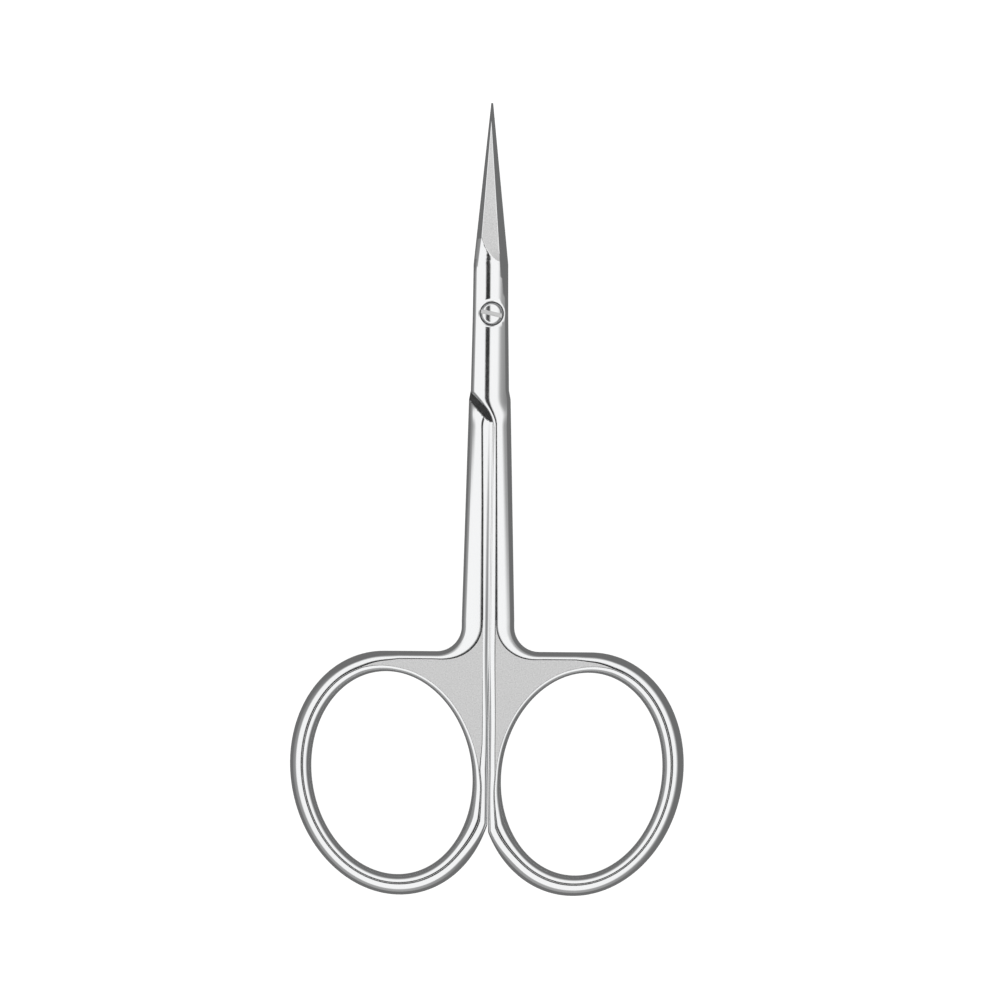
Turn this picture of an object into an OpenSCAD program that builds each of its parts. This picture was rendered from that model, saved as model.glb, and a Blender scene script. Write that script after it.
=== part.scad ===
// Cuticle scissors lying flat, closed, with the curved tips turned up.
// X runs to the right, Y to the tips and Z up. The origin is under the middle
// of the closed pair. Each half is forged in one piece: blade, lap, shank and
// finger ring. The front half has its ring on the right and its blade on the
// left of the rear one. A slotted screw is the pivot.
// Outlines are worked out in u and y: u is the distance from the middle line
// towards the half's own ring, and y is measured from the pivot.

/* [Blades] */
// Distance from the pivot to the tips
blade_l = 25.2; // [21:0.1:30]
// Distance from the pivot to the heels, where the blades start to taper
heel_y = 5.9; // [5.2:0.1:7]
// Width of the blades at the heels
blade_w = 4.16; // [3.8:0.02:4.4]
// Width of the tips
tip_w = 0.3; // [0.2:0.02:0.6]
// Thickness of each blade at its tip
tip_t = 0.5; // [0.4:0.02:0.7]
// Thickness left along each cutting edge
edge_t = 0.14; // [0.1:0.01:0.2]
// Height that the curved blades rise to at the tips
blade_rise = 3.5; // [1:0.1:5]
// Distance from the pivot at which the blades start to curve
curve_start = 5; // [4:0.1:6]
// Width of the bevel along the back of a blade, past the heel
back_w = 0.45; // [0.3:0.05:0.6]
// Depth of the same bevel
back_d = 0.4; // [0.2:0.05:0.6]
// Thickness left along the cutting edge, just past the heel
heel_edge_t = 0.35; // [0.2:0.05:0.6]
// Length before the heel over which the lap starts to be ground flat
fade_before = 1; // [0.5:0.1:2]
// Length past the heel at which the blade is ground flat
fade_after = 3; // [2:0.1:5]

/* [Lap and crossing] */
// Thickness of the shanks and rings
stock_t = 3; // [2.6:0.05:3.6]
// Gap between the flat faces that slide on each other
lap_gap = 0.06; // [0.04:0.01:0.1]
// Width of the lap at the pivot
lap_w = 4.4; // [4:0.05:4.8]
// How much wider each side of the lap is at the crossing
lap_flare = 0.16; // [0:0.02:0.3]
// Distance from the pivot to the place where the front half turns aside
turn_y = 9.2; // [8:0.1:10]
// Distance from the pivot to the place where both halves lie side by side
side_y = 13.8; // [13:0.1:15]
// Distance from the pivot to the outer end of the shoulders
shoulder_y = 10.3; // [10.1:0.1:11]
// How far the middle of the lap is rounded up above its sides
lap_crown = 0.55; // [0.3:0.05:0.8]
// Width of the rounding along each side of the lap
crown_w = 1.3; // [0.8:0.1:1.8]
// Length cut off the thin outer end of each shoulder
shoulder_cut = 0.3; // [0.2:0.05:0.6]

/* [Shanks and rings] */
// Distance from the middle line to the outside of a shank at the crossing
shank_top_x = 2.5; // [2.4:0.05:2.9]
// Distance from the middle line to the outside of a shank above its ring
shank_end_x = 3.15; // [2.9:0.05:3.6]
// Distance from the pivot to the middles of the finger rings
ring_y = 55.15; // [50:0.5:62]
// Width of the oval finger openings
hole_w = 19.2; // [17:0.1:21]
// Length of the oval finger openings
hole_l = 24.46; // [22:0.1:27]
// Lean of the openings, with their upper ends outwards
hole_lean = 9.4; // [0:0.2:12]
// Lean of the outside of the rings
ring_lean = 12.5; // [5:0.5:16]
// Width of the bow round an opening
bow_w = 2.5; // [2.1:0.05:3]
// Width from an opening to the middle line
seam_w = 1.7; // [1.5:0.05:2.2]
// Radius in the corners between the shanks and the rings
corner_r = 3; // [2:0.1:4]
// Length of ring metal that runs up the shank above the corner
neck_l = 0.8; // [0.4:0.1:2]
// Gap between the ground inner edges, where the halves meet
seam_gap = 0.1; // [0.06:0.02:0.2]
// How far the meeting line lies right of the middle at the crossing
seam_top_x = 0.42; // [0.2:0.02:0.5]
// How far the meeting line lies right of the middle at the rings
seam_end_x = 0.16; // [0:0.02:0.3]
// Distance from the inner edge of a shank to its ridge, at the crossing
ridge_x = 0.8; // [0.5:0.05:1]
// Length over which the dome of a shank runs out above the ring
dome_end = 7; // [4:0.5:10]
// Width of the rounding along the edges, seen from above
round_w = 1.15; // [0.7:0.05:1.2]
// Depth of the same rounding, seen from the side
round_d = 1.2; // [0.8:0.05:1.25]

/* [Pivot screw] */
// How far the screw lies right of the middle line
pivot_x = 0.15; // [0:0.05:0.2]
// Diameter of the screw head
head_d = 2.7; // [2.4:0.05:2.9]
// Depth of the screw head
head_h = 0.6; // [0.5:0.05:0.8]
// Diameter of the smooth neck that the front half turns on
neck_d = 1.8; // [1.6:0.05:2]
// Diameter of the threaded end in the rear half
thread_d = 1.5; // [1.2:0.05:1.55]
// Gap round the neck and under the head
running_gap = 0.03; // [0.02:0.01:0.06]
// Gap round the head in its seat
head_gap = 0.07; // [0.05:0.01:0.1]
// Width of the chamfer round the seat
seat_chamfer = 0.14; // [0.08:0.02:0.2]
// Width of the screwdriver slot
slot_w = 0.5; // [0.4:0.05:0.7]
// Depth of the screwdriver slot
slot_d = 0.32; // [0.2:0.02:0.4]
// Angle of the slot from the X axis
slot_angle = -12; // [-90:1:90]

/* [Hidden] */
$fn = 96;
front = 1;
rear = -1;
mid_z = stock_t / 2;
lap_t = (stock_t - lap_gap) / 2;
curve_r = (pow(blade_l - curve_start, 2) + pow(blade_rise, 2)) / (2 * blade_rise);
hole_a = hole_w / 2;
hole_b = hole_l / 2;
ring_a = hole_a + bow_w;
ring_b = hole_b + bow_w;
// The ring's middle is as far out as its leaning opening and the seam side need
ring_x = seam_w + reach(hole_a, hole_b, hole_lean);
ring_top = ring_y - reach(ring_b, ring_a, ring_lean);
ring_bottom = ring_y + reach(ring_b, ring_a, ring_lean);
// Distance from the pivot to the line where shank and ring are joined
join_y = ring_top - corner_r - neck_l;
// The solids of one half run into each other over a length of join_l, and lie
// inside each other's outlines there by multiples of tuck, so that no two
// faces coincide
tuck = 0.015;
join_l = 2.5;
// Largest share of a bar's width that the rounding of one edge may take
round_share = 0.46;
// Share of a shank's width that both roundings take where it is domed
dome_share = 0.96;
centre_y = (ring_bottom - blade_l) / 2;
round_steps = 4;
blade_steps = 17;
lap_steps = 5;
turn_steps = 8;
shank_steps = 9;
bow_steps = 40;
seam_steps = 9;
web_steps = 4;
face_steps = 4;
overcut = 1;

function mix(a, b, k) = a + (b - a) * k;
function unit(v) = v / norm(v);
// Half the width of an oval with half axes a and b that leans by angle
function reach(a, b, angle) = sqrt(pow(a * cos(angle), 2) + pow(b * sin(angle), 2));
// Point of an oval round the ring's middle, at its own parameter t
function oval(a, b, lean, t) = [
    ring_x + a * cos(t) * cos(lean) + b * sin(t) * sin(lean),
    -ring_y - a * cos(t) * sin(lean) + b * sin(t) * cos(lean)
];
// Parameter of the finger opening in the direction of a point q outside it
function hole_t(q) =
    let (dx = q[0] - ring_x, dy = q[1] + ring_y)
    let (across = dx * cos(hole_lean) - dy * sin(hole_lean))
    let (along = dx * sin(hole_lean) + dy * cos(hole_lean))
    atan2(along / hole_b, across / hole_a);
function hole_point(t) = oval(hole_a, hole_b, hole_lean, t);

// Height of the sliding surface over the flat lap. It is a surface of
// revolution about the pivot, so the curved blades slide past each other
// without touching more at one angle than at another.
function rise(r) = r <= curve_start
    ? 0
    : curve_r - sqrt(pow(curve_r, 2) - pow(r - curve_start, 2));
function slide_z(x, y) = y > 0 ? rise(norm([x - pivot_x, y])) : 0;
// A point of one half. h is its height over the sliding surface, towards the
// half's own outer face
function place(side, u, y, h) = [side * u, y, mid_z + side * h + slide_z(side * u, y)];

// Where the meeting line of the halves lies, as u of this half's inner edge
function seam_u(side, y) =
    side * lookup(-y, [[side_y, seam_top_x], [ring_y, seam_end_x]]) + seam_gap / 2;
function shank_out(y) = lookup(-y, [[shoulder_y, shank_top_x], [join_y, shank_end_x]]);
function lap_half_w(y) = lookup(y, [
    [-turn_y, lap_w / 2 + lap_flare],
    [0, lap_w / 2],
    [heel_y, blade_w / 2],
    [blade_l, tip_w / 2]
]);

// Rounding of an edge, from the side wall at step 0 to the face at the last
function round_in(w, i) = w * (1 - cos(90 * i / round_steps));
function round_down(d, i) = d * (1 - sin(90 * i / round_steps));

// Closed outline of a bar with all four edges rounded, between the plan
// points p and q. in_p and in_q point into the metal there, and w_p and w_q
// are the widths of the roundings
function bar_section(side, p, q, in_p, in_q, w_p, w_q, half_t) =
    let (up = [for (i = [0:round_steps]) i], down = [for (i = [round_steps:-1:0]) i])
    [
        for (i = up) edge_point(side, p, in_p, w_p, half_t, round_d, i),
        for (i = down) edge_point(side, q, in_q, w_q, half_t, round_d, i),
        for (i = up) edge_point(side, q, in_q, w_q, -half_t, -round_d, i),
        for (i = down) edge_point(side, p, in_p, w_p, -half_t, -round_d, i)
    ];
function edge_point(side, p, inward, w, h, d, i) =
    let (e = p + inward * round_in(w, i))
    place(side, e[0], e[1], h - round_down(d, i));

// Skin over sections that run up along a bar. Each end is closed by a fan of
// triangles round its middle
module bar_skin(sections) {
    n = len(sections);
    m = len(sections[0]);
    bottom = n * m;
    top = bottom + 1;
    polyhedron(
        [for (s = sections) each s, middle(sections[0]), middle(sections[n - 1])],
        concat(
            [for (i = [0:n - 2], j = [0:m - 1]) each skin_pair(i, i + 1, j, m)],
            [for (j = [0:m - 1]) [bottom, j, (j + 1) % m]],
            [for (j = [0:m - 1]) [top, (n - 1) * m + (j + 1) % m, (n - 1) * m + j]]
        )
    );
}
function middle(points) = [for (k = [0:2]) mix(min(points * axis(k)), max(points * axis(k)), 0.5)];
function axis(k) = [for (i = [0:2]) i == k ? 1 : 0];

// Skin over sections that run round a ring
module ring_skin(sections) {
    n = len(sections);
    m = len(sections[0]);
    polyhedron(
        [for (s = sections) each s],
        [for (i = [0:n - 1], j = [0:m - 1]) each skin_pair(i, (i + 1) % n, j, m)]
    );
}

// The two triangles between neighbouring points of neighbouring sections
function skin_pair(i, k, j, m) =
    let (next = (j + 1) % m)
    [
        [i * m + j, k * m + j, k * m + next],
        [i * m + j, k * m + next, i * m + next]
    ];

// Left edge of the blade and lap, with the turn at the crossing. The turn is
// an arc that ends in line with the meeting line of the halves
function lap_inner(side, y) =
    let (end = seam_u(side, -side_y), from = -lap_half_w(-turn_y))
    let (dx = end - from, dy = side_y - turn_y)
    let (r = (dx * dx + dy * dy) / (2 * dx))
    y > -turn_y ? -lap_half_w(y)
    : y > -side_y ? end - r + sqrt(r * r - pow(y + side_y, 2))
    : seam_u(side, y);
function lap_outer(y) = y > -turn_y ? lap_half_w(y) : shank_out(y) - 4 * tuck;

// A size that changes along the half: from its value on the lap to the one
// where the blade is ground flat, and on to the one at the tip
function fade(y, lap, ground, tip) =
    lookup(y, [[heel_y - fade_before, lap], [heel_y + fade_after, ground], [blade_l, tip]]);

// Section of blade and lap: the flat sliding face, a thin edge towards the
// other blade, a thick back and a rounded or ground outer face
function lap_section(side, y, inset) =
    let (a = lap_inner(side, y) + inset, b = lap_outer(y) - inset)
    let (t = lookup(y, [[heel_y, lap_t], [blade_l, tip_t]]) - inset)
    let (low = lap_gap / 2 + inset, top = lap_gap / 2 + t, slim = tip_t / lap_t)
    let (w = min(round_share * (b - a), fade(y, crown_w, back_w, back_w * slim)))
    let (back = fade(y, lap_crown, back_d, back_d * slim))
    let (cut = fade(y, lap_crown, lap_t - heel_edge_t, tip_t - edge_t))
    [
        for (i = [0:round_steps]) place(side, a + round_in(w, i), y, top - round_down(back, i)),
        for (i = [round_steps:-1:0]) place(side, b - round_in(w, i), y, top - round_down(cut, i)),
        for (i = [face_steps:-1:0]) place(side, mix(a, b, i / face_steps), y, low)
    ];

module blade_and_lap(side) {
    turn = [for (i = [0:turn_steps - 1]) mix(-side_y, -turn_y, i / turn_steps)];
    lap = [for (i = [0:lap_steps - 1]) mix(-turn_y, heel_y, i / lap_steps)];
    blade = [for (i = [0:blade_steps]) mix(heel_y, blade_l, i / blade_steps)];
    bar_skin([
        lap_section(side, -side_y - join_l, 5 * tuck),
        for (y = concat(turn, lap, blade)) lap_section(side, y, 0)
    ]);
}

// Inner edge of the full-thickness shank, with the shoulder's arc at its top
function shank_inner(side, y) =
    let (end = seam_u(side, -side_y) + tuck)
    let (dx = shank_out(-shoulder_y) - end, dy = side_y - shoulder_y)
    let (r = (dx * dx + dy * dy) / (2 * dx))
    y > -side_y ? end + r - sqrt(r * r - pow(y + side_y, 2)) : seam_u(side, y) + tuck;

// The shank is domed: its ridge lies near the inner edge at the crossing, and
// opens into the flat web at the ring
function shank_section(side, y, inset) =
    let (a = shank_inner(side, y) + inset, b = shank_out(y) - inset)
    let (inner_w = min(lookup(-y, [[side_y, ridge_x], [join_y, round_w]]), round_share * (b - a)))
    let (dome_w = dome_share * (b - a) - inner_w)
    let (outer_w = min(dome_w, lookup(-y, [[join_y - dome_end, dome_w], [join_y, round_w]])))
    bar_section(side, [a, y], [b, y], [1, 0], [-1, 0], inner_w, outer_w, mid_z - 2 * tuck - inset);

module shank(side) {
    run = [for (i = [0:shank_steps - 1]) mix(-join_y - tuck, -side_y, i / shank_steps)];
    shoulder = [for (i = [0:turn_steps]) mix(-side_y, -shoulder_y - shoulder_cut, i / turn_steps)];
    bar_skin([
        shank_section(side, -join_y - join_l, 4 * tuck),
        for (y = concat(run, shoulder)) shank_section(side, y, 0)
    ]);
}

// Plan points round ring and web, each with the point of the opening that it
// is joined to: the oval from the notch between the rings round to its top,
// the web's top edge with the corner up to the shank, and the seam back down
function ring_pairs(side) =
    let (wide = reach(ring_a, ring_b, ring_lean))
    let (wide_t = atan2(ring_b * sin(ring_lean), ring_a * cos(ring_lean)))
    let (top_t = 90 + atan2(ring_a * sin(ring_lean), ring_b * cos(ring_lean)))
    let (notch_t = wide_t - acos((seam_u(side, -ring_y) - ring_x) / wide))
    let (notch = oval(ring_a, ring_b, ring_lean, notch_t))
    let (top = oval(ring_a, ring_b, ring_lean, top_t))
    let (corner_x = shank_out(-join_y) + tuck + corner_r)
    let (web = [
        for (i = [1:web_steps - 1]) [mix(top[0], corner_x, i / web_steps), -ring_top],
        for (a = [270:-15:180]) [corner_x + corner_r * cos(a), -ring_top + corner_r * (1 + sin(a))],
        [corner_x - corner_r, -join_y]
    ])
    let (seam = [
        for (i = [0:seam_steps - 1])
            let (y = mix(-join_y, notch[1], i / seam_steps))
            [seam_u(side, y), y]
    ])
    let (from = hole_t(top), to = hole_t(seam[0]), parts = len(web) + 1)
    [
        for (i = [0:bow_steps])
            let (q = oval(ring_a, ring_b, ring_lean, mix(notch_t, top_t, i / bow_steps)))
            [q, hole_point(hole_t(q))],
        for (i = [0:len(web) - 1]) [web[i], hole_point(mix(from, to, (i + 1) / parts))],
        for (q = seam) [q, hole_point(hole_t(q))]
    ];

// Direction into the metal at a point of the outline, between its neighbours.
// At the joint it lies along the joint, so that the edges run on into the shank
function outline_inward(before, q, after) =
    let (d = unit(after - before))
    q[1] < -join_y - tuck ? [-d[1], d[0]] : [before[1] < q[1] ? -1 : 1, 0];

function ring_section(side, pairs, i) =
    let (n = len(pairs), before = pairs[(i + n - 1) % n], after = pairs[(i + 1) % n])
    let (q = pairs[i][0], p = pairs[i][1], w = min(round_w, round_share * norm(q - p)))
    let (d = unit(after[1] - before[1]), in_q = outline_inward(before[0], q, after[0]))
    bar_section(side, p, q, [d[1], -d[0]], in_q, w, w, mid_z);

module finger_ring(side) {
    pairs = ring_pairs(side);
    ring_skin([for (i = [0:len(pairs) - 1]) ring_section(side, pairs, i)]);
}

module half(side) {
    blade_and_lap(side);
    shank(side);
    finger_ring(side);
}

// Everything is drawn round the pivot and then moved to the part's origin
module to_origin() {
    translate([0, centre_y, 0]) children();
}

module on_pivot(z) {
    translate([pivot_x, 0, z]) children();
}

module front_half() color("silver") to_origin() difference() {
    half(front);
    on_pivot(-overcut) cylinder(d = neck_d + 2 * running_gap, h = stock_t + 2 * overcut);
    on_pivot(stock_t - head_h) cylinder(d = head_d + 2 * head_gap, h = head_h + overcut);
    on_pivot(stock_t - seat_chamfer) cylinder(
        d1 = head_d + 2 * head_gap,
        d2 = head_d + 2 * head_gap + 4 * seat_chamfer,
        h = 2 * seat_chamfer
    );
}

module rear_half() color("lightgray") to_origin() difference() {
    half(rear);
    on_pivot(-overcut) cylinder(d = thread_d, h = stock_t + 2 * overcut);
}

// The threaded end fills its hole in the rear half, and the neck's step stands
// on that half's flat face
module pivot_screw() color("gainsboro") to_origin() on_pivot(0) difference() {
    neck_z = mid_z - lap_gap / 2;
    head_z = stock_t - head_h + running_gap;
    union() {
        translate([0, 0, tuck]) cylinder(d = thread_d, h = neck_z);
        translate([0, 0, neck_z]) cylinder(d = neck_d, h = head_z - neck_z);
        translate([0, 0, head_z]) cylinder(d = head_d, h = stock_t - head_z);
    }
    rotate(slot_angle) translate([-head_d, -slot_w / 2, stock_t - slot_d])
        cube([2 * head_d, slot_w, slot_d + overcut]);
}

front_half();
rear_half();
pivot_screw();
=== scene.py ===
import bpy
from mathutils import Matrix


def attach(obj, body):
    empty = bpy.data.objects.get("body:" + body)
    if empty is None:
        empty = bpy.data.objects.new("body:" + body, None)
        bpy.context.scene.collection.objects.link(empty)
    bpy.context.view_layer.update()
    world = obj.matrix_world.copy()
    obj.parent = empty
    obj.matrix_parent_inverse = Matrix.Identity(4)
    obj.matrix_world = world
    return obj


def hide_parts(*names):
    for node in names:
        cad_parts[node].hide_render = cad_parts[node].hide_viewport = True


bl_info = {
    "name": "Cuticle scissors",
    "version": (1, 0, 0),
    "blender": (4, 5, 0),
    "location": "3D View > Sidebar > Scissors",
    "description": "Models curved cuticle scissors in polished steel round their packed CAD frame",
    "category": "Mesh",
}

from math import acos, atan2, cos, exp, hypot, log, pi, radians, sin, sqrt, tan
from typing import NamedTuple

import bmesh
import bpy
from bpy.props import FloatProperty, FloatVectorProperty, IntProperty, PointerProperty
from bpy.types import Operator, Panel, PropertyGroup
from mathutils import Matrix, Vector

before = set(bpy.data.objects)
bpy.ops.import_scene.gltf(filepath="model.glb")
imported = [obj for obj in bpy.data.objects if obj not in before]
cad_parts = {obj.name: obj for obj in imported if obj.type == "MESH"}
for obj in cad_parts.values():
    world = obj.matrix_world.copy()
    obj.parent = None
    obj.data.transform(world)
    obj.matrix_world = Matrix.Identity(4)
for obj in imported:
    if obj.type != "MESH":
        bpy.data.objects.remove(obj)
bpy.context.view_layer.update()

MM = 0.001
FRONT = 1
REAR = -1
POLISHED = 0
SATIN = 1
# Steps of a rounded edge, round its corner and up its dome
CORNER_STEPS = 4
DOME_STEPS = 8


def length(name, description, millimetres):
    return FloatProperty(
        name=name, description=description, default=millimetres * MM, unit="LENGTH", precision=5, subtype="DISTANCE"
    )


class ScissorSizes(PropertyGroup):
    """Real sizes of the scissors, the same as the CAD part's"""

    blade_l: length("Blade length", "From the pivot to the tips", 25.2)
    heel_y: length("Heel", "From the pivot to the heels of the blades", 5.9)
    blade_w: length("Blade width", "Width of the blades at their heels", 4.16)
    tip_w: length("Tip width", "Width of the tips", 0.24)
    tip_t: length("Tip thickness", "Thickness of each blade at its tip", 0.5)
    edge_t: length("Edge thickness", "Thickness left along each cutting edge", 0.1)
    blade_rise: length("Blade rise", "Height that the curved blades rise to", 3.5)
    curve_start: length("Start of the curve", "From the pivot to where the blades start to curve", 5.0)
    stock_t: length("Stock thickness", "Thickness of shanks and rings", 3.0)
    lap_gap: length("Lap gap", "Gap between the sliding faces", 0.06)
    lap_w: length("Lap width", "Width of the lap at the pivot", 4.26)
    lap_flare: length("Lap flare", "How much wider each side of the lap is at the crossing", 0.16)
    lap_r: length("Lap dome radius", "Radius of the lap's dome at its crown", 4.28)
    crown_u: length("Crown", "Place of the lap's crown across the lap", -0.31)
    turn_y: length("Turn", "From the pivot to where the front half turns aside", 9.2)
    side_y: length("Side by side", "From the pivot to where the halves lie side by side", 13.8)
    turn_r: length("Turn radius", "Radius of the bend where the front half turns aside", 4.0)
    shoulder_y: length("Shoulder", "From the pivot to the outer end of the shoulders", 10.3)
    shoulder_in: length("Rear shoulder, inside", "Middle line to the bend in the rear half's shoulder", 0.13)
    shoulder_foot: length("Rear shoulder, foot", "From the pivot to the foot of the rear half's shoulder", 13.05)
    shank_top_x: length("Shank, top", "Middle line to the outside of a shank at the crossing", 2.5)
    shank_end_x: length("Shank, end", "Middle line to the outside of a shank above its ring", 3.15)
    ring_y: length("Rings", "From the pivot to the middles of the rings", 55.15)
    hole_w: length("Opening width", "Width of the oval finger openings", 19.2)
    hole_l: length("Opening length", "Length of the oval finger openings", 24.46)
    bow_w: length("Bow width", "Width of the bow round an opening", 2.498)
    seam_w: length("Seam side", "Width from an opening to the middle line", 1.7)
    corner_r: length("Corner radius", "Radius between shank and ring", 3.0)
    neck_l: length("Neck", "Length of ring metal that runs up the shank", 0.8)
    seam_gap: length("Seam gap", "Gap between the ground inner edges", 0.1)
    seam_top_x: length("Seam, top", "Meeting line right of the middle at the crossing", 0.42)
    seam_end_x: length("Seam, end", "Meeting line right of the middle at the rings", 0.16)
    pivot_x: length("Pivot offset", "Screw right of the middle line", 0.15)
    head_d: length("Head diameter", "Diameter of the screw head", 2.7)
    head_h: length("Head depth", "Depth of the screw head", 0.6)
    neck_d: length("Neck diameter", "Diameter of the screw's smooth neck", 1.8)
    thread_d: length("Thread diameter", "Diameter of the threaded end", 1.5)
    running_gap: length("Running gap", "Gap round the neck and under the head", 0.03)
    head_gap: length("Head gap", "Gap round the head in its seat", 0.07)
    slot_w: length("Slot width", "Width of the screwdriver slot", 0.5)
    slot_d: length("Slot depth", "Depth of the screwdriver slot", 0.44)
    shoulder_slant: FloatProperty(name="Shoulder slant", description="Rise of the rear shoulder for its run", default=1.15)
    hole_lean: FloatProperty(name="Opening lean", description="Lean of the openings", default=radians(9.4), subtype="ANGLE")
    ring_lean: FloatProperty(name="Ring lean", description="Lean of the rings' outside", default=radians(12.5), subtype="ANGLE")
    slot_angle: FloatProperty(name="Slot angle", description="Angle of the slot from X", default=radians(-12), subtype="ANGLE")
    bow_steps: IntProperty(name="Bow sections", description="Sections round the free part of a ring", default=96)


class SteelLook(PropertyGroup):
    """Colours and finish of the steel"""

    polished: FloatVectorProperty(
        name="Polished steel", description="Colour of the polished steel", default=(0.74, 0.745, 0.75), size=3, subtype="COLOR"
    )
    satin: FloatVectorProperty(
        name="Satin steel", description="Colour of the ground flats", default=(0.62, 0.62, 0.62), size=3, subtype="COLOR"
    )
    polish: FloatProperty(name="Polish", description="Roughness of the polished steel", default=0.09, subtype="FACTOR")
    grain: FloatProperty(name="Satin grain", description="Roughness of the ground flats", default=0.4, subtype="FACTOR")


class StudioLook(PropertyGroup):
    """Floor, light and camera"""

    floor: FloatVectorProperty(
        name="Floor", description="Colour of the floor", default=(0.35, 0.35, 0.35), size=3, subtype="COLOR"
    )
    tent: FloatProperty(name="Light tent", description="Brightness of the tent over the scissors", default=1.22)
    upper: FloatProperty(name="Upper sides", description="Brightness of the studio just under the tent", default=0.5)
    lower: FloatProperty(name="Lower sides", description="Brightness of the studio level with the scissors", default=0.2)
    gap: FloatProperty(name="Camera gap", description="Brightness of the hole for the camera", default=0.03)
    tent_spread: FloatVectorProperty(
        name="Tent spread", description="How soon the tent ends, across and along", default=(1.0, 0.95, 0), size=3
    )
    tent_shift: FloatVectorProperty(
        name="Tent shift", description="How much sooner it ends to the right and the top", default=(0.1, 0.15, 0), size=3
    )
    frame_w: length("Frame width", "Width that the camera takes in", 120.0)
    distance: length("Camera height", "Height of the camera over the floor", 3000.0)
    lean: FloatProperty(name="Lean", description="Lean of the scissors in the frame", default=radians(0.468), subtype="ANGLE")
    aim_x: length("Aim X", "Middle of the frame, across", 1.317)
    aim_y: length("Aim Y", "Middle of the frame, along", -0.063)


def mix(a, b, k):
    return a + (b - a) * k


def ease(a, b, y):
    """0 at a, 1 at b, with soft ends"""
    k = min(max((y - a) / (b - a), 0.0), 1.0)
    return k * k * (3 - 2 * k)


def lookup(y, *steps):
    """Value at y on straight lines between (place, value) pairs that rise in place"""
    if y <= steps[0][0]:
        return steps[0][1]
    for (y0, v0), (y1, v1) in zip(steps, steps[1:]):
        if y <= y1:
            return mix(v0, v1, (y - y0) / (y1 - y0))
    return steps[-1][1]


def reach(a, b, angle):
    return hypot(a * cos(angle), b * sin(angle))


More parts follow.
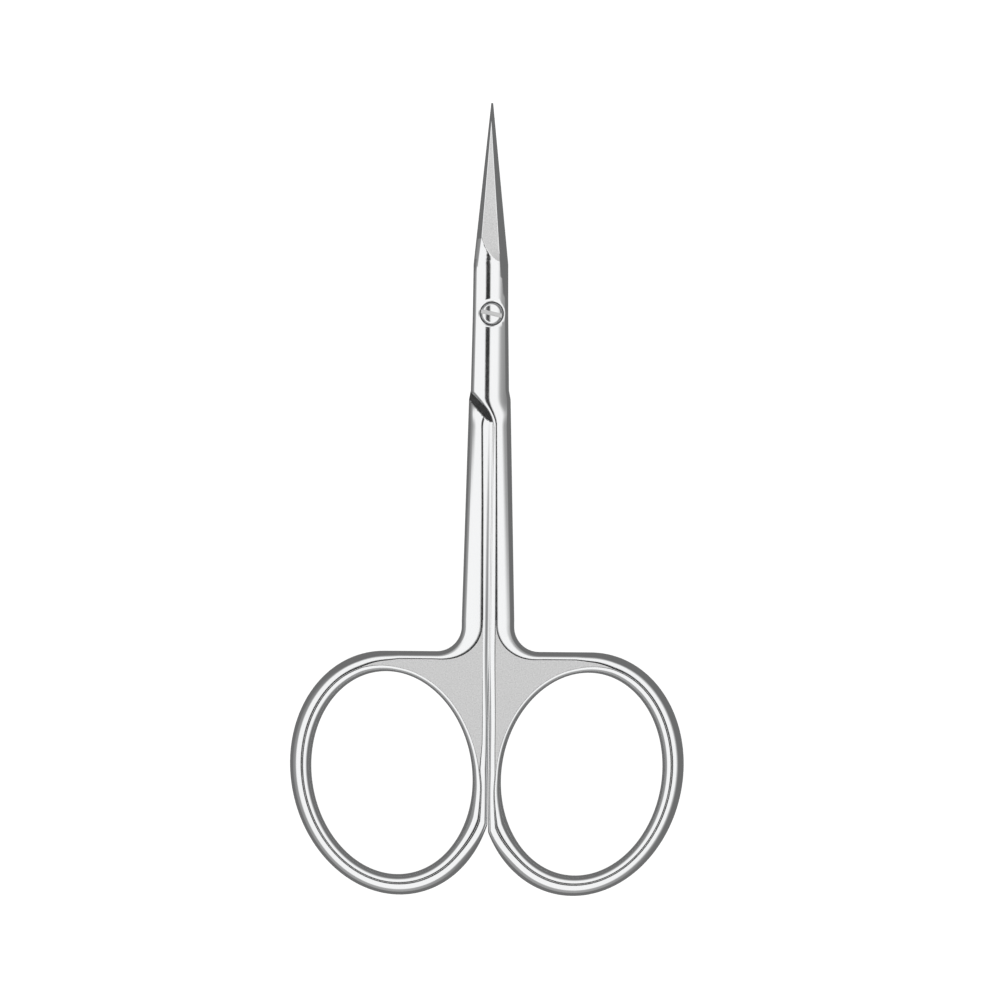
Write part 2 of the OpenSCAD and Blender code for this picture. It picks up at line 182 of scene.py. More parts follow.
class Plan:
    """Outline of one half, seen from above. u runs towards the half's own ring, y to the tips from the pivot"""

    def __init__(self, s, side):
        self.s = s
        self.side = side
        self.half_t = s.stock_t / 2
        self.hole_a = s.hole_w / 2
        self.hole_b = s.hole_l / 2
        self.ring_a = self.hole_a + s.bow_w
        self.ring_b = self.hole_b + s.bow_w
        self.ring_x = s.seam_w + reach(self.hole_a, self.hole_b, s.hole_lean)
        self.ring_top = s.ring_y - reach(self.ring_b, self.ring_a, s.ring_lean)
        self.ring_bottom = s.ring_y + reach(self.ring_b, self.ring_a, s.ring_lean)
        self.join_y = self.ring_top - s.corner_r - s.neck_l
        self.centre_y = (self.ring_bottom - s.blade_l) / 2
        self.curve_r = ((s.blade_l - s.curve_start) ** 2 + s.blade_rise**2) / (2 * s.blade_rise)

    def oval(self, a, b, lean, t):
        return Vector(
            (
                self.ring_x + a * cos(t) * cos(lean) + b * sin(t) * sin(lean),
                -self.s.ring_y - a * cos(t) * sin(lean) + b * sin(t) * cos(lean),
            )
        )

    def hole(self, t):
        return self.oval(self.hole_a, self.hole_b, self.s.hole_lean, t)

    def hole_t(self, q):
        """Parameter of the opening's outline in the direction of q"""
        lean = self.s.hole_lean
        dx, dy = q[0] - self.ring_x, q[1] + self.s.ring_y
        return atan2(
            (dx * sin(lean) + dy * cos(lean)) / self.hole_b,
            (dx * cos(lean) - dy * sin(lean)) / self.hole_a,
        )

    def seam_u(self, y):
        s = self.s
        line = lookup(-y, (s.side_y, s.seam_top_x), (s.ring_y, s.seam_end_x))
        return self.side * line + s.seam_gap / 2

    def outer_u(self, y):
        """Outer side of shank, lap and blade"""
        s = self.s
        if y > -s.turn_y:
            return self.lap_half_w(y)
        return lookup(-y, (s.turn_y, self.lap_half_w(-s.turn_y)), (s.shoulder_y, s.shank_top_x), (self.join_y, s.shank_end_x))

    def lap_half_w(self, y):
        s = self.s
        return lookup(
            y, (-s.turn_y, s.lap_w / 2 + s.lap_flare), (0, s.lap_w / 2), (s.heel_y, s.blade_w / 2), (s.blade_l, s.tip_w / 2)
        )

    def inner_u(self, y):
        """Inner side: the back of the blade, the side of the lap, the turn at the crossing and the seam"""
        s = self.s
        if y > -s.turn_y:
            return -self.lap_half_w(y)
        if y > -s.side_y:
            # An arc up from the seam, and straight on at half a right angle to the side of the lap
            end, eighth = self.seam_u(-s.side_y), s.turn_r * sin(pi / 4)
            rise = min(y + s.side_y, eighth)
            arc_u = end - s.turn_r + sqrt(s.turn_r**2 - rise**2)
            return max(arc_u - (y + s.side_y - rise), -self.lap_half_w(-s.turn_y))
        return self.seam_u(y)

    def shoulder_line(self, u):
        """Place along the half where the full-thickness shank runs out in the shoulder"""
        s = self.s
        if self.side == FRONT:
            # An arc close beside the rear half's lap
            end = self.seam_u(-s.side_y)
            dx, dy = s.shank_top_x - end, s.side_y - s.shoulder_y
            r = (dx * dx + dy * dy) / (2 * dx)
            return -s.side_y + sqrt(r * r - (r + end - u) ** 2)
        # A level foot that bends softly into a slant, well clear of the front half
        bend = 0.3 * MM
        return -s.shoulder_foot + s.shoulder_slant * bend * log(1 + exp((u - s.shoulder_in) / bend))

    def ridge_u(self, y):
        """Line along the half where its dome is highest"""
        s = self.s
        side = self.side
        shank = lookup(
            -y,
            (s.side_y, (0.83 - 0.07 * side) * MM),
            (s.side_y + 9 * MM, (0.785 + 0.065 * side) * MM),
            (self.join_y, (0.78 + 0.17 * side) * MM),
        )
        k = ease(-s.turn_y - 0.8 * MM, -s.side_y + 0.4 * MM, y)
        crown = s.crown_u * self.lap_half_w(y) / (s.lap_w / 2)
        return mix(crown, shank, k)

    def bar_edges(self, y):
        """Rounded edges on the inner and the outer side at y. They meet in the ridge"""
        s = self.s
        ridge = self.ridge_u(y)
        inner_w, outer_w = ridge - self.inner_u(y), self.outer_u(y) - ridge
        lap_in, lap_out = Edge.dome(inner_w, s.lap_r), Edge.dome(outer_w, s.lap_r)
        if self.side == FRONT:
            shank_in = Edge.plain(0.05 * MM, inner_w - 0.05 * MM, 0.07 * MM, 1.75)
        else:
            lip_w = 0.22 * MM
            shank_in = Edge(0.05 * MM, lip_w, 0.16, inner_w - 0.05 * MM - lip_w, 0.2 * MM, 1.75)
        shank_corner = 0.55 * MM
        shank_out = Edge.plain(shank_corner, outer_w - shank_corner, 0.33 * MM, 1.85)
        k = ease(-s.turn_y - 0.5 * MM, -s.side_y, y)
        return lap_in.blend(shank_in, k).filling(inner_w), lap_out.blend(shank_out, k).filling(outer_w)


class Edge(NamedTuple):
    """A rounded edge: a corner over the wall, a sloping lip, and a dome up to the ridge or the face"""

    corner: float
    lip: float
    tilt: float
    width: float
    depth: float
    power: float

    @classmethod
    def plain(cls, corner, width, depth, power):
        """An edge without a lip. Its corner runs into the dome's slope"""
        return cls(corner, 0.01 * MM, power * depth / width, width, depth, power)

    @classmethod
    def dome(cls, room, radius):
        """The edge of a dome with this radius at its crown, the room away"""
        corner = min(0.42 * MM, 0.45 * room)
        return cls.plain(corner, room - corner, (room - corner) ** 2 / (2 * radius), 2)

    def blend(self, other, k):
        return Edge(*(mix(a, b, k) for a, b in zip(self, other)))

    def total(self):
        return self.corner + self.lip + self.width

    def stretched(self, k):
        return self._replace(corner=self.corner * k, lip=self.lip * k, width=self.width * k)

    def filling(self, room):
        """The same edge stretched to take all but a sliver of the room"""
        return self.stretched((room - 0.02 * MM) / self.total())

    def curve(self):
        """Offsets from the wall and depths under the face, from the wall's top to the face"""
        start = self.corner + self.lip
        points = []
        for i in range(CORNER_STEPS + 1):
            a = pi / 2 * i / CORNER_STEPS
            off = self.corner * (1 - cos(a))
            points.append((off, self.depth + self.tilt * (start - off) + self.corner * (1 - sin(a))))
        for i in range(DOME_STEPS + 1):
            left = (1 - i / DOME_STEPS) ** 1.25
            points.append((start + self.width * (1 - left), self.depth * left**self.power))
        return points


def edge_line(half_t, p, inward, edge):
    """Points of a rounded edge from the face down over the wall to the face underneath"""
    top = [(p + inward * off, half_t - deep) for off, deep in reversed(edge.curve())]
    return [Vector((c.x, c.y, h)) for c, h in top] + [Vector((c.x, c.y, -h)) for c, h in reversed(top)]


def section(half_t, p, q, in_p, in_q, edge_p, edge_q):
    """Closed section of a bar between the plan points p and q"""
    return edge_line(half_t, q, in_q, edge_q) + edge_line(half_t, p, in_p, edge_p)[::-1]


def bar_section(plan, y):
    inner, outer = plan.bar_edges(y)
    ends = Vector((plan.inner_u(y), y)), Vector((plan.outer_u(y), y))
    return section(plan.half_t, *ends, Vector((1, 0)), Vector((-1, 0)), inner, outer)


def extrude_to(bm, chain, points, closed=False):
    """Extrudes a chain of vertices by its edges and moves the new ones to the given points"""
    pairs = list(zip(chain, chain[1:] + chain[:1] if closed else chain[1:]))
    edges = [bm.edges.get(pair) for pair in pairs]
    grown = bmesh.ops.extrude_edge_only(bm, edges=edges)["geom"]
    fresh = {v for v in grown if isinstance(v, bmesh.types.BMVert)}
    ahead = [next(e.other_vert(v) for e in v.link_edges if e.other_vert(v) in fresh) for v in chain]
    for v, point in zip(ahead, points):
        v.co = point
    return ahead


class RingPath:
    """Plan points round the outside of a ring: up its seam, round its bow, over its web and up the corner"""

    SEAM_STEPS = 48
    WEB_STEPS = 14
    CORNER_STEPS = 16

    def __init__(self, plan):
        s = plan.s
        wide = reach(plan.ring_a, plan.ring_b, s.ring_lean)
        wide_t = atan2(plan.ring_b * sin(s.ring_lean), plan.ring_a * cos(s.ring_lean))
        top_t = pi / 2 + atan2(plan.ring_a * sin(s.ring_lean), plan.ring_b * cos(s.ring_lean))
        notch_t = wide_t - acos((plan.seam_u(-s.ring_y) - plan.ring_x) / wide)
        steps = s.bow_steps
        self.bow = [
            plan.oval(plan.ring_a, plan.ring_b, s.ring_lean, mix(notch_t, top_t, i / steps)) for i in range(steps + 1)
        ]
        notch, top = self.bow[0], self.bow[-1]
        # The seam runs from the joint with the shank down to the notch
        self.seam = []
        for i in range(self.SEAM_STEPS):
            y = mix(-plan.join_y, notch.y, i / self.SEAM_STEPS)
            self.seam.append(Vector((plan.seam_u(y), y)))
        joint_x = plan.outer_u(-plan.join_y)
        middle = Vector((joint_x + s.corner_r, -plan.ring_top + s.corner_r))
        self.web = [Vector((mix(top.x, middle.x, i / self.WEB_STEPS), top.y)) for i in range(1, self.WEB_STEPS)]
        for i in range(self.CORNER_STEPS + 1):
            a = pi / 2 * i / self.CORNER_STEPS
            self.web.append(middle - Vector((sin(a), cos(a))) * s.corner_r)
        self.web += [Vector((joint_x, mix(middle.y, -plan.join_y, k))) for k in (0.5, 1.0)]
        # The ridge of the bow opens into the web's flat at these two places
        self.flat_from = round(0.935 * steps)
        self.flat_to = round(0.72 * self.SEAM_STEPS)


def inward(before, after, turn):
    """Direction across the line between two neighbours of a plan point"""
    d = (after - before).normalized()
    return Vector((d.y, -d.x)) * turn


def ring_edges(path, where, i):
    """Rounded edge along the opening and the one along the outside"""
    bow_in = Edge.plain(0.5 * MM, 0.5 * MM, 0.1 * MM, 2.3)
    bow_out = Edge.plain(0.65 * MM, 0.65 * MM, 0.13 * MM, 2.3)
    web_in = Edge.plain(0.35 * MM, 0.25 * MM, 0.06 * MM, 2)
    web_out = Edge.plain(0.45 * MM, 0.5 * MM, 0.12 * MM, 2.6)
    notch = Edge.plain(0.25 * MM, 0.5 * MM, 0.1 * MM, 2)
    if where == "seam":
        k = ease(path.flat_to, path.flat_to + 5, i)
        return web_in.blend(bow_in, k), notch
    start, end = ease(0, 10, i), ease(path.flat_from - 8, path.flat_from, i)
    return bow_in.blend(web_in, end), notch.blend(bow_out, start).blend(web_out, end)


def meeting_edges(plan, path, q, where, i):
    """Point of the opening across from q, and the two edges stretched so that they meet in a ridge"""
    p = plan.hole(plan.hole_t(q))
    hole_edge, edge = ring_edges(path, where, i)
    fit = ((q - p).length - 0.04 * MM) / (hole_edge.total() + edge.total())
    return p, hole_edge.stretched(fit), edge.stretched(fit)


def narrow_section(plan, path, q, where, i):
    """Section straight across the bow or the lower seam"""
    p, hole_edge, edge = meeting_edges(plan, path, q, where, i)
    across = (q - p).normalized()
    return section(plan.half_t, p, q, across, -across, hole_edge, edge)


def build_ring(bm, plan):
    """The ring with its web, open where the shank starts. Returns the loop of vertices there"""
    path = RingPath(plan)
    narrow = [(q, "seam", i) for i, q in enumerate(path.seam)][path.flat_to :]
    narrow += [(q, "bow", i) for i, q in enumerate(path.bow)][: path.flat_from + 1]
    sections = [narrow_section(plan, path, *station) for station in narrow]
    half = len(sections[0]) // 2
    first = bmesh.ops.create_circle(bm, cap_ends=False, radius=plan.half_t, segments=2 * half)["verts"]
    for v, point in zip(first, sections[0]):
        v.co = point
    loop = first
    for points in sections[1:]:
        loop = extrude_to(bm, loop, points, closed=True)

    # Along the opening, from the bow's end over the web to the seam
    chain = loop[half:][::-1]
    t_from, t_to = (plan.hole_t(q) % (2 * pi) for q in (path.bow[path.flat_from], path.seam[path.flat_to]))
    from_in, from_out = meeting_edges(plan, path, path.bow[path.flat_from], "bow", path.flat_from)[1:]
    to_in, to_out = meeting_edges(plan, path, path.seam[path.flat_to], "seam", path.flat_to)[1:]
    web_in, web_out = ring_edges(path, "bow", path.flat_from)
    steps = 44
    for i in range(1, steps):
        t = mix(t_from, t_to, i / steps)
        side = inward(plan.hole(t - 0.01), plan.hole(t + 0.01), 1)
        edge = from_in.blend(web_in, min(i / 10, 1)).blend(to_in, max(0, 1 - (steps - i) / 10))
        chain = extrude_to(bm, chain, edge_line(plan.half_t, plan.hole(t), side, edge))
    extrude_to(bm, chain, sections[0][half:][::-1])

    # Along the outside: over the web and round the corner to the shank, and up the seam to it
    inner, outer = plan.bar_edges(-plan.join_y)
    outside = path.bow[path.flat_from :] + path.web
    chain = loop[:half]
    for i in range(1, len(outside)):
        q = outside[i]
        last = i == len(outside) - 1
        side = Vector((-1, 0)) if last else inward(outside[i - 1], outside[i + 1], -1)
        k = ease(len(outside) - 20, len(outside) - 2, i)
        edge = from_out.blend(web_out, min(i / 10, 1)).blend(outer, k)
        chain = extrude_to(bm, chain, edge_line(plan.half_t, q, side, edge))
    joint_out = chain
    chain = first[:half]
    notch = ring_edges(path, "seam", path.flat_to)[1]
    for i in range(path.flat_to - 1, -1, -1):
        up = path.flat_to - i
        edge = to_out.blend(notch, min(up / 6, 1)).blend(inner, ease(0.25 * path.flat_to, 0.85 * path.flat_to, up))
        chain = extrude_to(bm, chain, edge_line(plan.half_t, path.seam[i], Vector((1, 0)), edge))
    joint_in = chain

    for a, b in ((joint_out[0], joint_in[0]), (joint_out[-1], joint_in[-1])):
        bm.edges.new((a, b))
    bmesh.ops.remove_doubles(bm, verts=bm.verts[:], dist=0.002 * MM)
    return joint_out + joint_in[::-1]


def close_web(bm, plan):
    """The web's two flats are ground satin, out to where they end between the edges of bow and seam"""
    for f in bm.faces:
        if all(abs(abs(v.co.z) - plan.half_t) < 1e-8 for v in f.verts) and f.calc_center_median().y < -plan.join_y:
            f.material_index = SATIN
    for h in (plan.half_t, -plan.half_t):
        border = [e for e in bm.edges if len(e.link_faces) < 2 and all(abs(v.co.z - h) < 1e-8 for v in e.verts)]
        for f in bmesh.ops.contextual_create(bm, geom=border)["faces"]:
            f.material_index = SATIN


def build_bar(bm, plan, loop):
    """Shank, lap and blade, grown upwards from the ring's open loop to the tip"""
    s = plan.s
    shank = [mix(-plan.join_y, -s.side_y, i / 40) for i in range(1, 41)]
    turn = [mix(-s.side_y, -s.turn_y, i / 24) for i in range(1, 25)]
    lap = [mix(-s.turn_y, s.heel_y, i / 26) for i in range(1, 27)]
    blade = [mix(s.heel_y, s.blade_l, i / 40) for i in range(1, 41)]
    for y in shank + turn + lap + blade:
        loop = extrude_to(bm, loop, bar_section(plan, y), closed=True)
    bmesh.ops.contextual_create(bm, geom=[bm.edges.get(p) for p in zip(loop, loop[1:] + loop[:1])])


def fill_cut(bm, material):
    """Closes the hole that a cut has left and gives the new face its finish"""
    border = [e for e in bm.edges if e.is_boundary]
    faces = bmesh.ops.holes_fill(bm, edges=border, sides=0)["faces"]
    for f in faces:
        f.material_index = material
    return faces


def grind(bm, point, normal, low_y, material):
    """Takes off what stands over a plane, as a grinding wheel does, on the blade's side of low_y"""
    faces = [f for f in bm.faces if max(v.co.y for v in f.verts) > low_y]
    edges = {e for f in faces for e in f.edges}
    verts = {v for f in faces for v in f.verts}
    bmesh.ops.bisect_plane(
        bm, geom=[*verts, *edges, *faces], dist=1e-7, plane_co=point, plane_no=normal.normalized(), clear_outer=True
    )
    return fill_cut(bm, material)


def grind_blade(bm, plan):
    """The ground flat of the blade and the steep flanks along its back and its cutting edge"""
    s = plan.s
    low = s.lap_gap / 2
    run = s.blade_l - s.heel_y
    narrowing = (s.blade_w - s.tip_w) / 2
    # Side, heights at heel and tip where the flank starts, and its lean inwards
    for side, heel_h, tip_h, lean in (
        (-1, 0.75 * MM, 0.25 * MM, radians(40)),
        (1, s.edge_t, s.edge_t, radians(40)),
    ):
        along = Vector((-side * narrowing, run, tip_h - heel_h))
        up = Vector((-side * tan(lean), 0, 1))
        grind(bm, Vector((side * s.blade_w / 2, s.heel_y, low + heel_h)), along.cross(up) * side, 0.0, POLISHED)
    # The flat is cut straight while the blade is bent away from the wheel's run-out
    wheel = Wheel(plan)
    wheel.bend(bm, -1)
    flat = grind(bm, wheel.point, wheel.normal, 0.0, SATIN)
    # A fine polished rim catches the light round the flat
    rim = bmesh.ops.inset_region(bm, faces=flat, thickness=0.07 * MM, use_even_offset=True, use_boundary=True)
    for f in rim["faces"]:
        f.material_index = POLISHED
    slice_across(bm, [mix(wheel.start_y, s.blade_l, (i / 60) ** 1.5) for i in range(1, 60)])
    wheel.bend(bm, 1)


class Wheel:
    """The ground flat: an even slope to the tip, which steepens and twists where the wheel ran out near the lap"""

    start_y = 6.0 * MM
    run_out = 1.5 * MM
    drop = 0.357 * MM
    over = 0.268 * MM
    twist = 0.273
    tilt = 0.08

    def __init__(self, plan):
        s = plan.s
        self.crown_u = s.crown_u
        start_h = plan.half_t + self.over
        end_h = s.lap_gap / 2 + s.tip_t - self.tilt * s.crown_u + self.drop
        slope = (start_h - end_h) / (s.blade_l - self.start_y)
        self.point = Vector((s.crown_u, self.start_y, start_h))
        self.normal = Vector((self.tilt + self.twist, slope + self.drop / self.run_out, 1))

    def bend(self, bm, way):
        for v in bm.verts:
            along = (v.co.y - self.start_y) / self.run_out
            if along > 0:
                gone = 1 - exp(-along)
                v.co.z += way * (self.drop * (along - gone) + self.twist * (v.co.x - self.crown_u) * gone)


def lap_cutter(plan):
    """What is milled away under the lap and the blade, up to the shoulder"""
    s = plan.s
    far = 8 * MM
    bm = bmesh.new()
    across = [mix(plan.seam_u(-s.side_y), s.shank_top_x, (i / 24) ** 1.5) for i in range(25)]
    outline = [Vector((u, plan.shoulder_line(u), 0)) for u in across]
    step = outline[-1] - outline[-2]
    outline.append(outline[-1] + step * MM / step.x)
    outline += [Vector((far, outline[-1].y, 0)), Vector((far, s.blade_l + far, 0)), Vector((-far, s.blade_l + far, 0))]
    outline.append(Vector((-far, outline[0].y, 0)))
    verts = [bm.verts.new(c) for c in outline]
    face = bm.faces.new(verts)
    bmesh.ops.translate(bm, verts=bm.verts[:], vec=(0, 0, s.lap_gap / 2))
    grown = bmesh.ops.extrude_face_region(bm, geom=[face], use_keep_orig=True)["geom"]
    moved = [v for v in grown if isinstance(v, bmesh.types.BMVert)]
    bmesh.ops.translate(bm, verts=moved, vec=(0, 0, -2 * s.stock_t))
    bmesh.ops.recalc_face_normals(bm, faces=bm.faces[:])
    return bm


def turned(profile, segments=64):
    """A closed solid turned on the lathe from (radius, height) points, first and last on the axis"""
    bm = bmesh.new()
    verts = [bm.verts.new((r, 0, z)) for r, z in profile]
    edges = [bm.edges.new(p) for p in zip(verts, verts[1:])]
    bmesh.ops.spin(
        bm, geom=verts + edges, cent=(0, 0, 0), axis=(0, 0, 1), angle=2 * pi, steps=segments, use_merge=True
    )
    bmesh.ops.remove_doubles(bm, verts=bm.verts[:], dist=1e-7)
    bmesh.ops.recalc_face_normals(bm, faces=bm.faces[:])
    return bm


def follow_dome(bm, plan, over, crown):
    """Lowers what lies over a height to the lap's dome, which head and seat are ground to"""
    for v in bm.verts:
        if v.co.z > over:
            v.co.z -= (v.co.x - crown) ** 2 / (2 * plan.s.lap_r)


def seat_cutter(plan):
    """Seat and bore for the screw in the front half, with the seat's bright rim"""
    s = plan.s
    seat_r, bore_r = s.head_d / 2 + s.head_gap + 0.02 * MM, s.neck_d / 2 + s.running_gap
    floor, top, rim = plan.half_t - s.head_h, plan.half_t, 0.16 * MM
    profile = [(0, -2 * plan.half_t), (bore_r, -2 * plan.half_t), (bore_r, floor), (seat_r, floor)]
    profile += [(seat_r, top - 0.09 * MM), (seat_r + 0.03 * MM, top - 0.045 * MM), (seat_r + rim, top)]
    profile += [(seat_r + rim + 0.1 * MM, top + 0.04 * MM), (seat_r + rim + 0.1 * MM, top + MM), (0, top + MM)]
    bm = turned(profile, 96)
    bmesh.ops.translate(bm, verts=bm.verts[:], vec=(s.pivot_x, 0, 0))
    follow_dome(bm, plan, floor + 0.1 * MM, s.crown_u)
    return bm


def thread_cutter(plan):
    s = plan.s
    bm = turned([(0, -2 * plan.half_t), (s.thread_d / 2, -2 * plan.half_t), (s.thread_d / 2, s.stock_t), (0, s.stock_t)])
    bmesh.ops.translate(bm, verts=bm.verts[:], vec=(-s.pivot_x, 0, 0))
    return bm


def to_object(bm, name, materials=()):
    mesh = bpy.data.meshes.new(name)
    bm.to_mesh(mesh)
    bm.free()
    for material in materials:
        mesh.materials.append(material)
    obj = bpy.data.objects.new(name, mesh)
    bpy.context.scene.collection.objects.link(obj)
    return obj


def cut(obj, cutter_bm, materials):
    """Takes the cutter's volume out of an object's mesh"""
    cutter = to_object(cutter_bm, "cutter", materials)
    modifier = obj.modifiers.new("Cut", "BOOLEAN")
    modifier.operation = "DIFFERENCE"
    modifier.solver = "EXACT"
    modifier.object = cutter
    bpy.context.view_layer.update()
    evaluated = obj.evaluated_get(bpy.context.evaluated_depsgraph_get())
    mesh = bpy.data.meshes.new_from_object(evaluated)
    obj.modifiers.clear()
    old, obj.data = obj.data, mesh
    bpy.data.meshes.remove(old)
    bpy.data.objects.remove(cutter)


def round_shoulder(bm, plan):
    """Rounds the rim of the shoulder, which stands beside the other half's lap"""
    start, end = plan.seam_u(-plan.s.side_y), plan.s.shank_top_x

    def on_rim(v):
        u, y, h = v.co
        if h > -0.6 * MM or u < start - 0.02 * MM:
            return False
        return abs(y - plan.shoulder_line(min(max(u, start), end))) < 0.1 * MM

    rim = []
    for e in bm.edges:
        if len(e.link_faces) != 2 or not all(on_rim(v) for v in e.verts):
            continue
        flatness = sorted(abs(f.normal.z) for f in e.link_faces)
        if flatness[0] < 0.01 and flatness[1] > 0.2 and e.calc_face_angle(0) > radians(30):
            rim.append(e)
    bmesh.ops.bevel(
        bm, geom=rim, offset=0.12 * MM, offset_type="OFFSET", affect="EDGES", segments=3, profile=0.5, material=-1
    )
    # Where the rim runs out at the side, the bevel may not stand over the face
    for v in bm.verts:
        v.co.z = max(v.co.z, -plan.half_t)


def slice_across(bm, places):
    """Cuts every face at the given distances from the pivot, so that the blade can be bent"""
    for y in places:
        geom = bm.verts[:] + bm.edges[:] + bm.faces[:]
        bmesh.ops.bisect_plane(bm, geom=geom, dist=1e-7, plane_co=(0, y, 0), plane_no=(0, 1, 0))


def set_in_place(bm, plan):
    """Curves the blade and moves the half from its own u, y and height to its place in the part"""
    s = plan.s
    mid_z = s.stock_t / 2
    for v in bm.verts:
        u, y, h = v.co
        x = plan.side * u
        r = hypot(x - s.pivot_x, y)
        lift = 0.0
        if y > 0 and r > s.curve_start:
            lift = plan.curve_r - sqrt(plan.curve_r**2 - (r - s.curve_start) ** 2)
        v.co = (x, y + plan.centre_y, mid_z + plan.side * h + lift)


def finish_mesh(bm, obj, sharp=radians(38)):
    """Smooth shading, apart from the real edges and the borders of the ground flats"""
    bmesh.ops.recalc_face_normals(bm, faces=bm.faces[:])
    for f in bm.faces:
        f.smooth = True
    for e in bm.edges:
        finishes = {f.material_index for f in e.link_faces}
        e.smooth = len(finishes) == 1 and e.calc_face_angle(0) < sharp
    bm.to_mesh(obj.data)
    bm.free()


def build_half(side, name, node, body):
    s = bpy.context.scene.scissor_sizes
    plan = Plan(s, side)
    materials = [polished_steel(), satin_steel()]
    bm = bmesh.new()
    build_bar(bm, plan, build_ring(bm, plan))
    close_web(bm, plan)
    grind_blade(bm, plan)
    obj = to_object(bm, name, materials)
    cut(obj, lap_cutter(plan), materials)
    cut(obj, seat_cutter(plan) if side == FRONT else thread_cutter(plan), materials)
    bm = bmesh.new()
    bm.from_mesh(obj.data)
    bmesh.ops.remove_doubles(bm, verts=bm.verts[:], dist=0.001 * MM)
    round_shoulder(bm, plan)
    slice_across(bm, [mix(s.curve_start * 0.8, s.blade_l, i / 44) for i in range(1, 44)])
    set_in_place(bm, plan)
    finish_mesh(bm, obj)
    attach(obj, body)
    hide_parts(node)
    return obj


def build_screw():
    s = bpy.context.scene.scissor_sizes
    plan = Plan(s, FRONT)
    t, r = s.stock_t, s.head_d / 2 - 0.03 * MM
    head_z = t - s.head_h + s.running_gap
    neck_z = t / 2 - s.lap_gap / 2
    top_z = t - 0.02 * MM
    end_z = 0.02 * MM
    profile = [(0, end_z), (s.thread_d / 2, end_z), (s.thread_d / 2, neck_z), (s.neck_d / 2, neck_z)]
    profile += [(s.neck_d / 2, head_z), (r, head_z), (r, top_z - 0.28 * MM), (r - 0.05 * MM, top_z - 0.14 * MM)]
    profile += [(r - 0.13 * MM, top_z - 0.04 * MM), (r - 0.24 * MM, top_z)]
    profile += [(r * k / 8, top_z) for k in range(6, -1, -1)]
    bm = turned(profile, 96)
    bmesh.ops.translate(bm, verts=bm.verts[:], vec=(s.pivot_x, plan.centre_y, 0))
    follow_dome(bm, plan, head_z + 0.1 * MM, s.crown_u)
    obj = to_object(bm, "pivot_screw_steel", [screw_steel(), satin_steel()])
    slot = bmesh.new()
    bmesh.ops.create_cube(slot, size=1)
    for f in slot.faces:
        f.material_index = SATIN if f.normal.z < -0.5 else POLISHED
    bmesh.ops.scale(slot, verts=slot.verts[:], vec=(2 * s.head_d, s.slot_w, 2 * s.slot_d))
    bmesh.ops.rotate(slot, verts=slot.verts[:], cent=(0, 0, 0), matrix=Matrix.Rotation(s.slot_angle, 3, "Z"))
    bmesh.ops.translate(slot, verts=slot.verts[:], vec=(s.pivot_x, plan.centre_y, t))
    cut(obj, slot, [screw_steel(), satin_steel()])
    bm = bmesh.new()
    bm.from_mesh(obj.data)
    bmesh.ops.remove_doubles(bm, verts=bm.verts[:], dist=0.001 * MM)
    finish_mesh(bm, obj)
    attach(obj, "rear")
    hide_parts("pivot_screw")
    return obj


def steel(name, colour, roughness, spread, bump, scales, shade=0.0, stretch=(1, 1, 1)):
    """Steel whose roughness wanders with a fine grain and a broader one. The grain shades it too"""
    if name in bpy.data.materials:
        return bpy.data.materials[name]
    material = bpy.data.materials.new(name)
    material.use_nodes = True
    nodes, links = material.node_tree.nodes, material.node_tree.links
    shader = nodes["Principled BSDF"]
    shader.inputs["Base Color"].default_value = (*colour, 1)
    shader.inputs["Metallic"].default_value = 1.0
    coords = nodes.new("ShaderNodeTexCoord")
    mapping = nodes.new("ShaderNodeMapping")
    mapping.inputs["Scale"].default_value = stretch
    links.new(coords.outputs["Object"], mapping.inputs["Vector"])
    grain = nodes.new("ShaderNodeTexNoise")
    grain.inputs["Scale"].default_value = scales[0]
    grain.inputs["Detail"].default_value = 4.0
    broad = nodes.new("ShaderNodeTexNoise")
    broad.inputs["Scale"].default_value = scales[1]
    broad.inputs["Detail"].default_value = 2.0
    for noise in (grain, broad):
        links.new(mapping.outputs["Vector"], noise.inputs["Vector"])
    both = nodes.new("ShaderNodeMath")
    both.operation = "ADD"
    links.new(grain.outputs["Fac"], both.inputs[0])
    links.new(broad.outputs["Fac"], both.inputs[1])
    spread_map = nodes.new("ShaderNodeMapRange")
    spread_map.inputs["From Min"].default_value = 0.6
    spread_map.inputs["From Max"].default_value = 1.4
    spread_map.inputs["To Min"].default_value = roughness - spread
    spread_map.inputs["To Max"].default_value = roughness + spread
    links.new(both.outputs["Value"], spread_map.inputs["Value"])
    links.new(spread_map.outputs["Result"], shader.inputs["Roughness"])
    if shade:
        shades = nodes.new("ShaderNodeMix")
        shades.data_type = "RGBA"
        shades.inputs["A"].default_value = (*(c * (1 - shade) for c in colour), 1)
        shades.inputs["B"].default_value = (*(c * (1 + shade) for c in colour), 1)
        links.new(grain.outputs["Fac"], shades.inputs["Factor"])
        links.new(shades.outputs["Result"], shader.inputs["Base Color"])
    relief = nodes.new("ShaderNodeBump")
    relief.inputs["Strength"].default_value = bump
    relief.inputs["Distance"].default_value = 0.01 * MM
    links.new(grain.outputs["Fac"], relief.inputs["Height"])
    links.new(relief.outputs["Normal"], shader.inputs["Normal"])
    return material


def polished_steel():
    look = bpy.context.scene.steel_look
    return steel("mirror_polish", look.polished, look.polish, 0.03, 0.06, (2500, 300))


def satin_steel():
    look = bpy.context.scene.steel_look
    return steel("satin_grind", look.satin, look.grain, 0.06, 0.8, (7000, 500), shade=0.35)


def screw_steel():
    look = bpy.context.scene.steel_look
    return steel("screw_polish", look.polished, look.polish + 0.04, 0.04, 0.1, (3000, 600))


class SCISSORS_OT_front_half(Operator):
    """Model the half that lies on top: its ring is on the right"""

    bl_idname = "scissors.front_half"
    bl_label = "Front Half"

    def execute(self, context):
        build_half(FRONT, "front_half_steel", "front_half", "front")
        return {"FINISHED"}


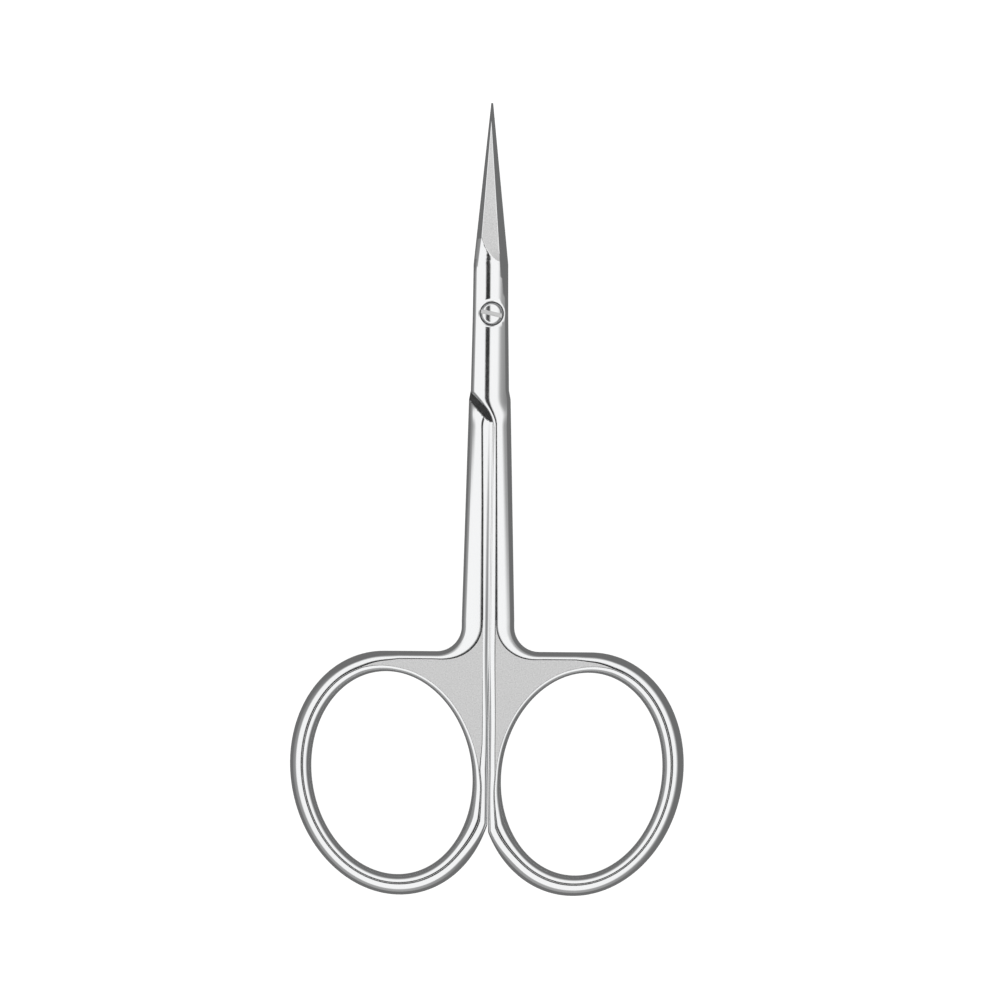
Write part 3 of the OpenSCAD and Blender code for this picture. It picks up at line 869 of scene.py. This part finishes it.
class SCISSORS_OT_rear_half(Operator):
    """Model the half underneath: its ring is on the left"""

    bl_idname = "scissors.rear_half"
    bl_label = "Rear Half"

    def execute(self, context):
        build_half(REAR, "rear_half_steel", "rear_half", "rear")
        return {"FINISHED"}


class SCISSORS_OT_pivot_screw(Operator):
    """Model the slotted screw that the front half turns on"""

    bl_idname = "scissors.pivot_screw"
    bl_label = "Pivot Screw"

    def execute(self, context):
        build_screw()
        return {"FINISHED"}


class SCISSORS_OT_stage(Operator):
    """Lay the floor, hang the light tent and set up the camera over the scissors"""

    bl_idname = "scissors.stage"
    bl_label = "Stage"

    def execute(self, context):
        look = context.scene.studio_look
        lay_floor(look)
        hang_tent(context.scene, look)
        set_camera(context.scene, look)
        return {"FINISHED"}


def lay_floor(look):
    bm = bmesh.new()
    bmesh.ops.create_grid(bm, x_segments=8, y_segments=8, size=4.0)
    floor = to_object(bm, "floor")
    material = bpy.data.materials.new("floor_paper")
    material.use_nodes = True
    nodes, links = material.node_tree.nodes, material.node_tree.links
    shader = nodes["Principled BSDF"]
    shader.inputs["Base Color"].default_value = (*look.floor, 1)
    shader.inputs["Roughness"].default_value = 0.9
    shader.inputs["Specular IOR Level"].default_value = 0.0
    shader.inputs["Emission Color"].default_value = (1, 1, 1, 1)
    shader.inputs["Emission Strength"].default_value = 0.9
    # The steel sees the paper as dim, as under a tent that throws little light past the object
    dim = nodes.new("ShaderNodeEmission")
    dim.inputs["Color"].default_value = (1, 1, 1, 1)
    dim.inputs["Strength"].default_value = 0.2
    path = nodes.new("ShaderNodeLightPath")
    choose = nodes.new("ShaderNodeMixShader")
    links.new(path.outputs["Is Glossy Ray"], choose.inputs["Fac"])
    links.new(shader.outputs["BSDF"], choose.inputs[1])
    links.new(dim.outputs["Emission"], choose.inputs[2])
    links.new(choose.outputs["Shader"], nodes["Material Output"].inputs["Surface"])
    floor.data.materials.append(material)


def hang_tent(scene, look):
    """A bright tent round the camera's gap, open towards the dim sides. It reaches lower on the left and at the rings"""
    world = bpy.data.worlds.new("studio")
    scene.world = world
    world.use_nodes = True
    nodes, links = world.node_tree.nodes, world.node_tree.links
    background = nodes["Background"]
    coords = nodes.new("ShaderNodeTexCoord")

    def vector_node(operation, first, second=None):
        node = nodes.new("ShaderNodeVectorMath")
        node.operation = operation
        for socket, value in zip(node.inputs, (first, second)):
            if isinstance(value, tuple):
                socket.default_value = value
            elif value is not None:
                links.new(value, socket)
        return node

    def math_node(operation, first, second):
        node = nodes.new("ShaderNodeMath")
        node.operation = operation
        links.new(first, node.inputs[0])
        links.new(second, node.inputs[1])
        return node.outputs["Value"]

    def falloff(value, low, high, low_value, high_value):
        node = nodes.new("ShaderNodeMapRange")
        node.interpolation_type = "SMOOTHSTEP"
        links.new(value, node.inputs["Value"])
        for name, number in zip(("From Min", "From Max", "To Min", "To Max"), (low, high, low_value, high_value)):
            node.inputs[name].default_value = number
        return node.outputs["Result"]

    # The distance from the zenith is stretched on each side by its own amount
    direction = coords.outputs["Generated"]
    size = vector_node("ABSOLUTE", direction).outputs["Vector"]
    even = vector_node("MULTIPLY", size, look.tent_spread[:2] + (0,)).outputs["Vector"]
    odd = vector_node("MULTIPLY", direction, look.tent_shift[:2] + (0,)).outputs["Vector"]
    lopsided = vector_node("ADD", even, odd).outputs["Vector"]
    place = vector_node("LENGTH", lopsided).outputs["Value"]
    tent = falloff(place, 0.55, 0.76, look.tent - look.upper, 0.0)
    sides = falloff(place, 0.68, 1.05, look.upper, look.lower)
    flat = vector_node("MULTIPLY", direction, (1, 1, 0)).outputs["Vector"]
    hole = falloff(vector_node("LENGTH", flat).outputs["Value"], 0.085, 0.16, look.gap, 1.0)
    light = math_node("MULTIPLY", math_node("ADD", tent, sides), hole)
    links.new(light, background.inputs["Strength"])
    background.inputs["Color"].default_value = (1, 1, 1, 1)
    scene.view_settings.view_transform = "Standard"


def set_camera(scene, look):
    data = bpy.data.cameras.new("camera")
    data.sensor_width = 36.0
    data.lens = data.sensor_width * look.distance / look.frame_w
    data.clip_end = 20.0
    camera = bpy.data.objects.new("camera", data)
    camera.location = (look.aim_x, look.aim_y, look.distance)
    camera.rotation_euler = (0, 0, look.lean)
    scene.collection.objects.link(camera)
    scene.camera = camera


class SCISSORS_PT_panel(Panel):
    """Sizes, finish and the steps of the model"""

    bl_label = "Cuticle Scissors"
    bl_idname = "SCISSORS_PT_panel"
    bl_space_type = "VIEW_3D"
    bl_region_type = "UI"
    bl_category = "Scissors"

    def draw(self, context):
        layout = self.layout
        for group in (context.scene.scissor_sizes, context.scene.steel_look, context.scene.studio_look):
            box = layout.box()
            for name in group.__annotations__:
                box.prop(group, name)
        for operator in OPERATORS:
            layout.operator(operator.bl_idname)


OPERATORS = (SCISSORS_OT_front_half, SCISSORS_OT_rear_half, SCISSORS_OT_pivot_screw, SCISSORS_OT_stage)
CLASSES = (ScissorSizes, SteelLook, StudioLook, *OPERATORS, SCISSORS_PT_panel)


def register():
    for cls in CLASSES:
        bpy.utils.register_class(cls)
    bpy.types.Scene.scissor_sizes = PointerProperty(type=ScissorSizes)
    bpy.types.Scene.steel_look = PointerProperty(type=SteelLook)
    bpy.types.Scene.studio_look = PointerProperty(type=StudioLook)


def unregister():
    del bpy.types.Scene.studio_look
    del bpy.types.Scene.steel_look
    del bpy.types.Scene.scissor_sizes
    for cls in reversed(CLASSES):
        bpy.utils.unregister_class(cls)


def main():
    register()
    bpy.ops.scissors.stage()
    bpy.ops.scissors.front_half()
    bpy.ops.scissors.rear_half()
    bpy.ops.scissors.pivot_screw()


if __name__ == "__main__":
    main()
